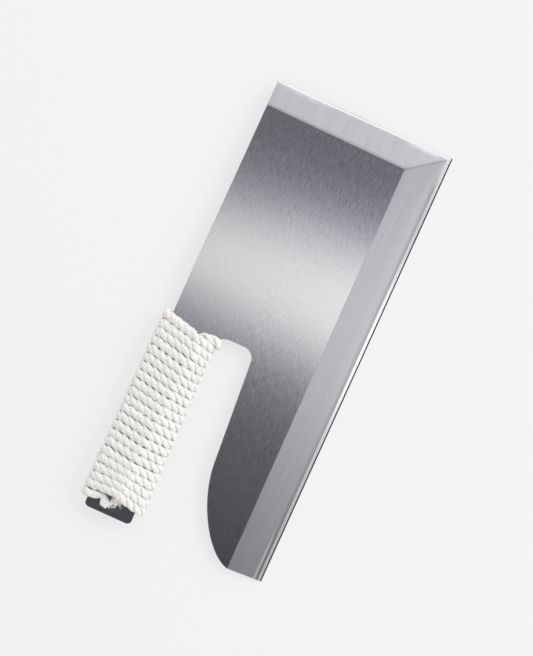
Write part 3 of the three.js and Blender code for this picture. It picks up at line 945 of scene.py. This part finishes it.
def strand_section(number):
    """A strand's section along the whole cord, as widths and thicknesses on a grid of length by angle.
    Its middle turns about the cord's line, a whole number of times in each turn round the tang, so that
    the strands of all turns lie alike, and fans out flat at the cord's ends. The section is an oval across
    that line, broader on the faces, and the whole cord is pressed towards a rounded square, and pulled
    thinner after the last turn."""
    turn = 2 * np.pi * (lays_per_turn * turns_made + number / strand_count + lay_start)
    turn = turn + np.interp(turns_made, np.arange(-2, turn_count + 2), lay_shifts)
    round_angle = 2 * np.pi * np.arange(strand_sides) / strand_sides
    cos_turn, sin_turn = np.cos(turn)[:, None], np.sin(turn)[:, None]
    tight = np.interp(turns_made, tight_turns, tightness)[:, None]
    at_face = strand_at_face + tight * (strand_at_tight_face - strand_at_face)
    breadth = strand_at_side + (at_face - strand_at_side) * sin_turn**2
    fan_place = (number - 1) * (tail_fan * tail_fan_step + finish_fan * finish_fan_step)
    fan_level = tail_fan * tail_fan_level + finish_fan * finish_fan_level
    radial = strand_radial * np.cos(round_angle)
    tangent = breadth * np.sin(round_angle)
    circle = strand_circle * (1 - fan)
    slim = share_between(turns_made[:, None], slim_from, slim_to) * (1 - finish_fan)
    wide = fan_place + (1 - slim_by * slim) * ((circle + radial) * cos_turn - tangent * sin_turn)
    thick = fan_level + (1 - slim_by * slim) * ((circle + radial) * sin_turn + tangent * cos_turn)
    corner = np.arctan2(thick, wide)
    square = np.abs(np.cos(corner)) ** press_power + np.abs(np.sin(corner)) ** press_power
    return wide * square ** (-1 / press_power), pressed_thickness * thick * square ** (-1 / press_power)


sections = [strand_section(number) for number in range(strand_count)]
reach_ahead = np.max([wide.max(axis=1) for wide, thick in sections], axis=0)
reach_behind = np.max([-wide.min(axis=1) for wide, thick in sections], axis=0)


def room_beside(turns, own_reach, other_reach):
    """Half the room between each place and the turn beside it, shared so that a strand's crest settles
    into the hollow that faces it. Where no turn is near, the room is wide open."""
    per_turn = int(round(len(route) / (turns_made[-1] - turns_made[0])))
    search = np.arange(-neighbour_search, neighbour_search + 1)
    other = np.arange(len(route))[:, None] + turns * per_turn + search
    inside = (other >= 0) & (other < len(route))
    other = np.clip(other, 0, len(route) - 1)
    distance = np.linalg.norm(place[other] - place[:, None], axis=2)
    distance = np.where(inside, distance, np.inf)
    nearest = distance.argmin(axis=1)
    row = np.arange(len(route))
    nearest_distance = distance[row, nearest]
    shared = (nearest_distance + own_reach - other_reach[other[row, nearest]]) / 2 - contact_gap
    wide_open = 10.0
    return np.where(nearest_distance < 2 * cord_width, shared, wide_open)


room_ahead = room_beside(-1, reach_ahead, reach_behind)[:, None]
room_behind = room_beside(1, reach_behind, reach_ahead)[:, None]


def strand_surface(number):
    """A strand's points on a grid of length by angle, and how hidden each is, from 0 on the cord's outside
    to 1 at its heart or down between two turns; this share sets a painted shade, weaker on hollows that
    face the edge side, where the key lamp lights, and none on the fanned ends. Its ends are rounded off
    towards its middle line. On the front's spine half crests and grooves are worn to nearly one radius.
    Its sides give way to the next turns and its underside to the plate."""
    kept = (route_length >= tail_cuts[number]) & (route_length <= route_length[-1] - finish_cuts[number])
    length = route_length[kept]
    wide, thick = (values[kept] for values in sections[number])
    to_end = np.minimum(length - length[0], length[-1] - length)[:, None]
    taper = np.sqrt(np.clip(1 - (1 - np.minimum(to_end / end_rounding, 1)) ** 2, least_end, 1))
    middle_wide = wide.mean(axis=1, keepdims=True)
    middle_thick = thick.mean(axis=1, keepdims=True)
    wide = middle_wide + taper * (wide - middle_wide)
    thick = middle_thick + taper * (thick - middle_thick)
    crest_radius = strand_circle + strand_radial
    from_middle = np.hypot(wide, thick / pressed_thickness)
    upward = thick / pressed_thickness / from_middle
    worn = share_between(place[kept, 1], worn_from, worn_to) * outward[kept, 2].clip(0)
    worn = worn[:, None] * share_between(upward, worn_at_side, worn_at_top)
    evened = np.interp(from_middle, [0, groove_radius, crest_radius], [0, worn_groove, worn_crest])
    stretch = 1 + worn * (evened / from_middle - 1)
    wide, thick = wide * stretch, thick * stretch
    depth = 1 - from_middle * stretch / crest_radius
    ahead, behind = room_ahead[kept], room_behind[kept]
    beside = np.clip(1 + np.maximum(wide - ahead, -wide - behind) / pinch_width, 0, 1)
    pinched = beside * np.clip((pinch_top - thick) / pinch_depth, 0, 1)
    # Painted shade: the hidden share, less on hollows facing the edge side, where the key lamp lights them,
    # and none on the fanned ends
    facing = np.interp(outward[kept, 1], hollow_facing, hollow_shade)[:, None]
    hidden = np.maximum(np.clip(depth, 0, 1), pinched) * facing * (1 - fan[kept])
    wide = np.where(wide > ahead, ahead + give * (wide - ahead), wide)
    wide = np.where(-wide > behind, -behind + give * (wide + behind), wide)
    thick = np.where(thick < -seat_depth, -seat_depth + give * (thick + seat_depth), thick)
    points = place[kept, None] + wide[:, :, None] * sideways[kept, None]
    return points + thick[:, :, None] * outward[kept, None], length, hidden


def tube_faces(rings, sides, start):
    """Quads of a closed tube of rings and the two end faces."""
    index = start + np.arange(rings * sides).reshape(rings, sides)
    index = np.concatenate([index, index[:, :1]], axis=1)
    return grid_quads(index)[:, ::-1], [index[0, :-1], index[-1, :-1][::-1]]


def cotton():
    """Matt cotton: yarns that run round each strand, fluff and mottle in tone, a soft sheen, and a
    painted dark brown shade deep between the strands and turns."""
    dark_fluff, light_fluff = (0.76, 0.742, 0.702), (0.97, 0.957, 0.927)
    painted_deep_shade = (0.04, 0.032, 0.024, 1)
    shaded_from, shaded_to, most_shade = 0.3, 0.8, 0.95
    yarn_wander = 0.5
    fluff_height = 3.0
    material, tree = new_material("white_cotton")
    length_and_angle = add_node(tree, "ShaderNodeUVMap", uv_map="yarn").outputs["UV"]
    parts = add_node(tree, "ShaderNodeSeparateXYZ", {"Vector": length_and_angle}).outputs
    place = add_node(tree, "ShaderNodeTexCoord").outputs["Object"]
    fluff = add_node(
        tree, "ShaderNodeTexNoise", {"Vector": place, "Scale": 1100.0, "Detail": 3.0, "Roughness": 0.7}
    ).outputs["Fac"]
    twist = arithmetic(tree, "ADD", parts["X"], parts["Y"])
    wander = arithmetic(tree, "MULTIPLY_ADD", fluff, yarn_wander, twist)
    ridge = arithmetic(tree, "SINE", arithmetic(tree, "MULTIPLY", wander, 2 * np.pi))
    height = arithmetic(tree, "MULTIPLY_ADD", fluff, fluff_height, ridge)
    colour = colour_ramp(tree, fluff, [(0.34, dark_fluff), (0.62, light_fluff)], "LINEAR")
    # The hidden share darkens the colour: painted shade down between the strands and the turns
    hidden = add_node(tree, "ShaderNodeAttribute", attribute_name="hidden").outputs["Fac"]
    shaded = mapped(tree, hidden, shaded_from, shaded_to, high=most_shade, smooth=True)
    colour = mixed(tree, shaded, colour, painted_deep_shade)
    bump = add_node(tree, "ShaderNodeBump", {"Height": height, "Strength": 0.6, "Distance": 0.00008})
    shader = add_node(
        tree,
        "ShaderNodeBsdfPrincipled",
        {
            "Base Color": colour,
            "Roughness": 0.95,
            "Specular IOR Level": 0.2,
            "Sheen Weight": 0.15,
            "Sheen Roughness": 0.6,
            "Normal": bump.outputs["Normal"],
        },
    )
    add_node(tree, "ShaderNodeOutputMaterial", {"Surface": shader.outputs["BSDF"]})
    return material


yarns_per_strand = 11
yarn_twist_length = 9.0
way_samples = 4
white_cotton = cotton()
cut_ends = []
cut_ways = []
for number in range(strand_count):
    surface, length, hidden = strand_surface(number)
    middle_line = surface.mean(axis=1)
    cut_ends += [middle_line[1], middle_line[-2]]
    cut_ways += [middle_line[1] - middle_line[1 + way_samples]]
    cut_ways += [middle_line[-2] - middle_line[-2 - way_samples]]
    quads, ends = tube_faces(len(length), strand_sides, 0)
    strand = make_mesh(f"cord_strand_{number + 1}", surface.reshape(-1, 3), [quads, ends])
    corner_vertex = np.empty(len(strand.data.loops), np.int32)
    strand.data.loops.foreach_get("vertex_index", corner_vertex)
    ring, side = np.divmod(corner_vertex, strand_sides)
    quad_side = side[: quads.size].reshape(-1, 4)
    closing = np.ptp(quad_side, axis=1, keepdims=True) > 1
    side[: quads.size] = np.where(closing & (quad_side == 0), strand_sides, quad_side).ravel()
    uv = np.column_stack([length[ring] / yarn_twist_length, side / strand_sides * yarns_per_strand])
    strand.data.uv_layers.new(name="yarn").data.foreach_set("uv", uv.ravel())
    strand.data.attributes.new("hidden", "FLOAT", "POINT").data.foreach_set("value", hidden.ravel())
    strand.data.materials.append(white_cotton)
    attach(strand, "root")
    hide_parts("handle_cord")

yarns_per_end = 14
yarn_radius = 0.24
yarn_thinning = 0.7
yarn_scatter = np.array([0.6, 0.35])
yarn_splay = np.array([0.5, 0.3])
yarn_curl = 0.35
yarn_least = np.array([0.8, 0.2])
yarn_most = np.array([2.0, 0.6])
yarn_rings = 6
yarn_sides = 6
across_all_yarns = np.array([0.3, 0.5, 0.8])


def loose_yarns(ends, ways):
    """Points of the thin yarns that fray out of the strands' cut ends, on a grid of yarn by length by angle.
    The ends come in pairs, the buried one first and the finishing one second, and so do the yarns' sizes.
    Each yarn leaves near an end's middle, runs on with a small turn of its own, curls with the square of
    its length, thins towards its tip and stays above the plate."""
    chance = np.random.default_rng(11)
    count = len(ends) * yarns_per_end
    kind = np.repeat(np.arange(len(ends)) % 2, yarns_per_end)
    scatter = yarn_scatter[kind, None] * chance.normal(size=(count, 3))
    way = ways / np.linalg.norm(ways, axis=1, keepdims=True)
    turned = yarn_splay[kind, None] * chance.normal(size=(count, 3))
    way = np.repeat(way, yarns_per_end, axis=0) + turned
    way = way / np.linalg.norm(way, axis=1, keepdims=True)
    length = chance.uniform(yarn_least[kind], yarn_most[kind])[:, None, None]
    curl = yarn_curl * chance.normal(size=(count, 1, 3))
    share = np.linspace(0, 1, yarn_rings)[:, None]
    middle = (np.repeat(ends, yarns_per_end, axis=0) + scatter)[:, None]
    middle = middle + length * (way[:, None] * share + curl * share**2)
    middle[:, :, 2] = np.maximum(middle[:, :, 2], plate_thickness + yarn_radius)
    first = np.cross(across_all_yarns, way)
    first = first / np.linalg.norm(first, axis=1, keepdims=True)
    second = np.cross(way, first)
    angle = 2 * np.pi * np.arange(yarn_sides)[:, None] / yarn_sides
    ring = np.cos(angle) * first[:, None] + np.sin(angle) * second[:, None]
    return middle[:, :, None] + yarn_radius * (1 - yarn_thinning * share[:, None]) * ring[:, None]


yarn_points = loose_yarns(np.array(cut_ends), np.array(cut_ways))
yarn_faces = []
for number in range(len(yarn_points)):
    yarn_faces += tube_faces(yarn_rings, yarn_sides, number * yarn_rings * yarn_sides)
end_yarns = make_mesh("cord_end_yarns", yarn_points.reshape(-1, 3), yarn_faces)
end_yarns.data.materials.append(white_cotton)
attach(end_yarns, "root")
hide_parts("handle_cord")

# Floor, camera and light
# A plain pale floor, leant to meet both the cutting edge and the back of the cord, on which the knife
# lies. The camera looks straight down on the flat, and a studio sky lights it softly.
pixel = 0.51555
view_middle = np.array([120.7, 51.65, plate_thickness])
view_turn = np.radians(65.6)
view_distance = 850.0
image_height = 656
sensor_size = 36.0

camera_data = bpy.data.cameras.new("camera")
camera_data.sensor_width = sensor_size
camera_data.lens = sensor_size * view_distance / (image_height * pixel)
camera_data.clip_end = 100.0
camera = bpy.data.objects.new("camera", camera_data)
camera.location = heel_corner + MM * (view_middle + np.array([0, 0, view_distance]))
camera.rotation_euler = (0.0, 0.0, -view_turn)
bpy.context.scene.collection.objects.link(camera)
bpy.context.scene.camera = camera

floor_reach = 6000.0
floor_clearance = 0.05
cord_back = -(edge_bend + pressed_thickness * (strand_circle + strand_radial))
floor_slope = cord_back / tang_end_bottom
floor_corners = np.array([[-1, -1], [1, -1], [1, 1], [-1, 1]]) * floor_reach
floor_z = floor_slope * floor_corners[:, 1] - floor_clearance
floor_points = np.column_stack([floor_corners, floor_z])
floor = make_mesh("floor", floor_points, [np.array([[0, 1, 2, 3]])])
floor_material, tree = new_material("pale_floor")
floor_tone = (0.887, 0.887, 0.887, 1)
shown_evenly = 0.75
lit = add_node(tree, "ShaderNodeBsdfDiffuse", {"Color": floor_tone})
even = add_node(tree, "ShaderNodeEmission", {"Color": floor_tone, "Strength": 1.0})
ray = add_node(tree, "ShaderNodeLightPath").outputs
seen = arithmetic(tree, "MAXIMUM", ray["Is Camera Ray"], ray["Is Glossy Ray"])
seen = arithmetic(tree, "MAXIMUM", seen, ray["Is Transmission Ray"])
share = arithmetic(tree, "MULTIPLY", seen, shown_evenly)
floor_shader = add_node(
    tree,
    "ShaderNodeMixShader",
    {0: share, 1: lit.outputs["BSDF"], 2: even.outputs["Emission"]},
)
add_node(tree, "ShaderNodeOutputMaterial", {"Surface": floor_shader.outputs["Shader"]})
floor.data.materials.append(floor_material)

world = bpy.data.worlds.new("studio")
bpy.context.scene.world = world
world.use_nodes = True
tree = world.node_tree
tree.nodes.clear()
direction = add_node(tree, "ShaderNodeTexCoord").outputs["Generated"]
parts = add_node(tree, "ShaderNodeSeparateXYZ", {"Vector": direction}).outputs
to_spine = parts["Y"]
lean = arithmetic(tree, "ARCTAN2", parts["X"], parts["Z"])
panel_reach = 60


def panel_ramp(angle, tones):
    """Light that changes smoothly with an angle in radians, through tones given at angles in degrees."""
    share = mapped(tree, angle, np.radians(-panel_reach), np.radians(panel_reach))
    stops = [((degrees + panel_reach) / (2 * panel_reach), tone) for degrees, tone in tones]
    return colour_ramp(tree, share, stops)


# A dark room with pale walls to the left and right and a bright one past the tip
plain = np.ones(3)
dark_tint = np.array([0.96, 0.98, 1.14])
room = panel_ramp(
    lean,
    [
        (-28, 0.8 * plain),
        (-20, 0.05 * dark_tint),
        (-9.5, 0.05 * dark_tint),
        (-5.5, 0.105 * dark_tint),
        (6, 0.06 * dark_tint),
        (10, 0.27 * dark_tint),
        (16, 0.78 * plain),
        (30, 0.9 * plain),
        (38, 1.1 * plain),
        (46, 1.25 * plain),
        (56, 1.25 * plain),
    ],
)

# A long overhead softbox across the blade, wider on the side of the cutting edge
edge_side, spine_side = np.radians(1.86), np.radians(1.46)
turned_aside = np.radians(1.2)
softbox_middle = mapped(tree, to_spine, start=-0.03, end=0.05, low=edge_side, high=spine_side)
turning = mapped(tree, to_spine, start=-0.45, end=-0.09, low=turned_aside, high=0.0)
softbox_middle = arithmetic(tree, "SUBTRACT", softbox_middle, turning)
breadth = mapped(tree, to_spine, start=-0.19, end=0.16, low=1.6, high=0.5)
off_middle = arithmetic(tree, "SUBTRACT", lean, softbox_middle)
off_middle = arithmetic(tree, "DIVIDE", off_middle, breadth)
softbox_core = np.array([1.48, 1.47, 1.37])
softbox = panel_ramp(
    off_middle,
    [
        (-2.3, 0.0 * plain),
        (-1.75, np.array([0.46, 0.46, 0.72])),
        (-1.25, softbox_core),
        (1.35, softbox_core),
        (1.95, np.array([0.55, 0.55, 0.86])),
        (2.7, 0.0 * plain),
    ],
)
brightness = mapped(tree, to_spine, start=-0.7, end=0.7, low=1.9, high=0.1)
panel_colour = part_by_part(tree, "ADD", room, scaled(tree, softbox, brightness))

# Past the panel's two ends the sky is an even pale grey
open_sky = (0.89, 0.89, 0.89, 1)
beside = mapped(tree, arithmetic(tree, "ABSOLUTE", to_spine), start=0.33, end=0.68, smooth=True)
sky = mixed(tree, beside, panel_colour, open_sky)
background = add_node(tree, "ShaderNodeBackground", {"Color": sky, "Strength": 1.0})
add_node(tree, "ShaderNodeOutputWorld", {"Surface": background.outputs["Background"]})

# One large lamp off the edge's side, past the tip, facing the knife
key_place = Vector((0.75, -0.85, 0.95))
key_data = bpy.data.lights.new("key_softbox", "AREA")
key_data.shape = "RECTANGLE"
key_data.size = 1.2
key_data.size_y = 0.7
key_data.energy = 10.5
key = bpy.data.objects.new("key_softbox", key_data)
key.location = key_place
key.rotation_euler = key_place.to_track_quat("Z", "Y").to_euler()
bpy.context.scene.collection.objects.link(key)

bpy.context.scene.view_settings.view_transform = "Standard"
